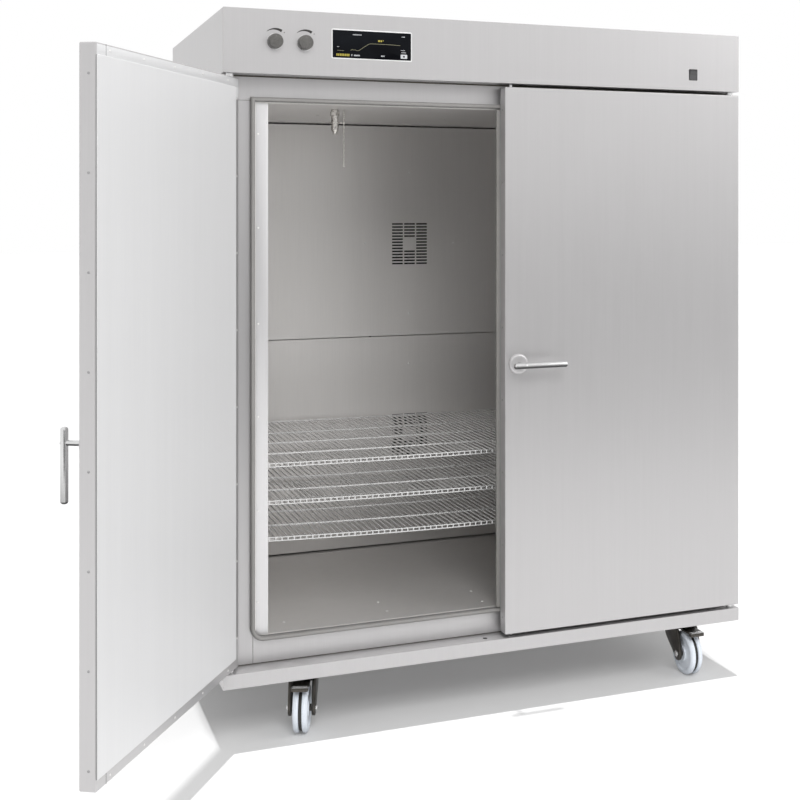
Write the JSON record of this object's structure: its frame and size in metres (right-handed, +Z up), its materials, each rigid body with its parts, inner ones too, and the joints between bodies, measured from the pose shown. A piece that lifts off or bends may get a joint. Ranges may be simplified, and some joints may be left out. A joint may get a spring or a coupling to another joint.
{
  "type": "laboratory oven",
  "caption": "Floor-standing laboratory drying oven with hinged insulated doors, lever locks, wire shelves, air circulation, a control hood and braked castors.",
  "frame": {"origin": "on the floor under the middle of the cabinet's plan", "axes": "+Z up, +X to the right of someone facing the doors, -Y out of the door fronts"},
  "size_m": [1.914, 1.5612, 1.885],
  "materials": {
    "brushed_steel": "satin",
    "polished_steel": "gloss",
    "shelf_wire": "gloss",
    "dark_plastic": "satin",
    "dark_steel": "satin",
    "display_glass": "gloss",
    "seal_rubber": "matte",
    "mineral_wool": "matte",
    "wheel_nylon": "satin"
  },
  "bodies": {
    "cabinet": {"base_frame": "brushed_steel", "left_side_panel": "brushed_steel", "right_side_panel": "brushed_steel", "rear_panel": "brushed_steel", "front_frame": "brushed_steel", "chamber_liner": "brushed_steel", "chamber_insulation": "mineral_wool", "rear_air_panel_upper": "brushed_steel", "rear_air_panel_lower": "brushed_steel", "left_shelf_rack": "brushed_steel", "right_shelf_rack": "brushed_steel", "door_gasket": "seal_rubber", "hood_cover": "brushed_steel", "control_fascia": "brushed_steel", "touch_display": "display_glass", "controller_unit": "dark_plastic", "exhaust_box": "brushed_steel", "exhaust_pipe": "brushed_steel", "fan_motor_upper": "dark_steel", "fan_motor_lower": "dark_steel", "heater_coil": "dark_steel", "temperature_probe": "brushed_steel", "left_top_hinge_pin": "polished_steel", "left_bottom_hinge_pin": "polished_steel", "right_top_hinge_pin": "polished_steel", "right_bottom_hinge_pin": "polished_steel"},
    "left_door": {"left_door_skin": "brushed_steel", "left_door_core": "mineral_wool", "left_door_liner": "polished_steel", "left_lever_rosette": "polished_steel"},
    "left_door_lever": {"left_lever": "polished_steel"},
    "left_upper_bolt_rod": {"left_top_bolt": "polished_steel"},
    "left_lower_bolt_rod": {"left_bottom_bolt": "polished_steel"},
    "right_door": {"right_door_skin": "brushed_steel", "right_door_core": "mineral_wool", "right_door_liner": "polished_steel", "right_lever_rosette": "polished_steel", "centre_seal": "seal_rubber"},
    "right_door_lever": {"right_lever": "polished_steel"},
    "right_upper_bolt_rod": {"right_top_bolt": "polished_steel"},
    "right_lower_bolt_rod": {"right_bottom_bolt": "polished_steel"},
    "exhaust_control": {"flap_knob": "dark_plastic", "exhaust_flap": "brushed_steel"},
    "fan_speed_dial": {"fan_speed_knob": "dark_plastic"},
    "power_switch": {"switch_rocker": "dark_plastic"},
    "upper_fan": {"fan_wheel_upper": "brushed_steel"},
    "lower_fan": {"fan_wheel_lower": "brushed_steel"},
    "lower_shelf": {"shelf_lower": "shelf_wire"},
    "middle_shelf": {"shelf_middle": "shelf_wire"},
    "upper_shelf": {"shelf_upper": "shelf_wire"},
    "front_left_fork": {"front_left_castor_fork": "dark_steel"},
    "front_left_wheel": {"front_left_castor_wheel": "wheel_nylon"},
    "front_left_pedal": {"front_left_brake_pedal": "dark_steel"},
    "front_right_fork": {"front_right_castor_fork": "dark_steel"},
    "front_right_wheel": {"front_right_castor_wheel": "wheel_nylon"},
    "front_right_pedal": {"front_right_brake_pedal": "dark_steel"},
    "rear_left_fork": {"rear_left_castor_fork": "dark_steel"},
    "rear_left_wheel": {"rear_left_castor_wheel": "wheel_nylon"},
    "rear_right_fork": {"rear_right_castor_fork": "dark_steel"},
    "rear_right_wheel": {"rear_right_castor_wheel": "wheel_nylon"}
  },
  "joints": [
    {"name": "left_door_swing", "type": "hinge", "parent": "cabinet", "child": "left_door", "pos_m": [-0.7297, -0.449, 0.212], "axis": [0, 0, 1], "range_deg": [-48.1, 121.9]},
    {"name": "left_lever_turn", "type": "hinge", "parent": "left_door", "child": "left_door_lever", "pos_m": [-1.11199, -1.02344, 0.901], "axis": [0.849, -0.5284, 0], "range_deg": [0, 90]},
    {"name": "left_top_bolt_slide", "type": "slide", "parent": "left_door", "child": "left_upper_bolt_rod", "axis": [0, 0, 1], "range_m": [0, 0.0085]},
    {"name": "left_bottom_bolt_slide", "type": "slide", "parent": "left_door", "child": "left_lower_bolt_rod", "axis": [0, 0, -1], "range_m": [0, 0.0085]},
    {"name": "right_door_swing", "type": "hinge", "parent": "cabinet", "child": "right_door", "pos_m": [0.7297, -0.449, 0.212], "axis": [0, 0, 1], "range_deg": [0, 170]},
    {"name": "right_lever_turn", "type": "hinge", "parent": "right_door", "child": "right_door_lever", "pos_m": [0.05, -0.47, 0.951], "axis": [0, 1, 0], "range_deg": [0, 90]},
    {"name": "right_top_bolt_slide", "type": "slide", "parent": "right_door", "child": "right_upper_bolt_rod", "axis": [0, 0, -1], "range_m": [0, 0.0085]},
    {"name": "right_bottom_bolt_slide", "type": "slide", "parent": "right_door", "child": "right_lower_bolt_rod", "axis": [0, 0, 1], "range_m": [0, 0.0085]},
    {"name": "exhaust_flap_turn", "type": "hinge", "parent": "cabinet", "child": "exhaust_control", "pos_m": [-0.619, -0.47, 1.8035], "axis": [0, 1, 0], "range_deg": [0, 90]},
    {"name": "fan_speed_turn", "type": "hinge", "parent": "cabinet", "child": "fan_speed_dial", "pos_m": [-0.5415, -0.47, 1.8035], "axis": [0, 1, 0], "range_deg": [0, 270]},
    {"name": "power_switch_rock", "type": "hinge", "parent": "cabinet", "child": "power_switch", "pos_m": [0.597, -0.466, 1.765], "axis": [1, 0, 0], "range_deg": [-16, 0]},
    {"name": "upper_fan_spin", "type": "hinge", "parent": "cabinet", "child": "upper_fan", "pos_m": [0, 0.362, 1.26185], "axis": [0, 1, 0], "continuous": true},
    {"name": "lower_fan_spin", "type": "hinge", "parent": "cabinet", "child": "lower_fan", "pos_m": [0, 0.362, 0.63535], "axis": [0, 1, 0], "continuous": true},
    {"name": "lower_shelf_slide", "type": "slide", "parent": "cabinet", "child": "lower_shelf", "axis": [0, -1, 0], "range_m": [0, 0.05]},
    {"name": "middle_shelf_slide", "type": "slide", "parent": "cabinet", "child": "middle_shelf", "axis": [0, -1, 0], "range_m": [0, 0.05]},
    {"name": "upper_shelf_slide", "type": "slide", "parent": "cabinet", "child": "upper_shelf", "axis": [0, -1, 0], "range_m": [0, 0.05]},
    {"name": "front_left_castor_swivel", "type": "hinge", "parent": "cabinet", "child": "front_left_fork", "pos_m": [-0.517, -0.347, 0.165], "axis": [0, 0, 1], "continuous": true},
    {"name": "front_left_wheel_roll", "type": "hinge", "parent": "front_left_fork", "child": "front_left_wheel", "pos_m": [-0.53002, -0.38482, 0.06246], "axis": [0.9455, -0.3256, 0], "continuous": true},
    {"name": "front_left_pedal_lift", "type": "hinge", "parent": "front_left_fork", "child": "front_left_pedal", "pos_m": [-0.52286, -0.36402, 0.1327], "axis": [-0.9455, 0.3256, 0], "range_deg": [0, 12]},
    {"name": "front_right_castor_swivel", "type": "hinge", "parent": "cabinet", "child": "front_right_fork", "pos_m": [0.624, -0.347, 0.165], "axis": [0, 0, 1], "continuous": true},
    {"name": "front_right_wheel_roll", "type": "hinge", "parent": "front_right_fork", "child": "front_right_wheel", "pos_m": [0.624, -0.387, 0.06246], "axis": [1, 0, 0], "continuous": true},
    {"name": "front_right_pedal_lift", "type": "hinge", "parent": "front_right_fork", "child": "front_right_pedal", "pos_m": [0.624, -0.365, 0.1327], "axis": [-1, 0, 0], "range_deg": [0, 12]},
    {"name": "rear_left_castor_swivel", "type": "hinge", "parent": "cabinet", "child": "rear_left_fork", "pos_m": [-0.517, 0.347, 0.165], "axis": [0, 0, 1], "continuous": true},
    {"name": "rear_left_wheel_roll", "type": "hinge", "parent": "rear_left_fork", "child": "rear_left_wheel", "pos_m": [-0.50868, 0.30787, 0.06246], "axis": [0.9781, 0.2079, 0], "continuous": true},
    {"name": "rear_right_castor_swivel", "type": "hinge", "parent": "cabinet", "child": "rear_right_fork", "pos_m": [0.624, 0.347, 0.165], "axis": [0, 0, 1], "continuous": true},
    {"name": "rear_right_wheel_roll", "type": "hinge", "parent": "rear_right_fork", "child": "rear_right_wheel", "pos_m": [0.61843, 0.30739, 0.06246], "axis": [0.9903, -0.1392, 0], "continuous": true}
  ],
  "couplings": [
    {"joint": "left_top_bolt_slide", "follows": "left_lever_turn", "m_per_rad": 0.0054112},
    {"joint": "left_bottom_bolt_slide", "follows": "left_lever_turn", "m_per_rad": 0.0054112},
    {"joint": "right_top_bolt_slide", "follows": "right_lever_turn", "m_per_rad": 0.0054112},
    {"joint": "right_bottom_bolt_slide", "follows": "right_lever_turn", "m_per_rad": 0.0054112}
  ]
}
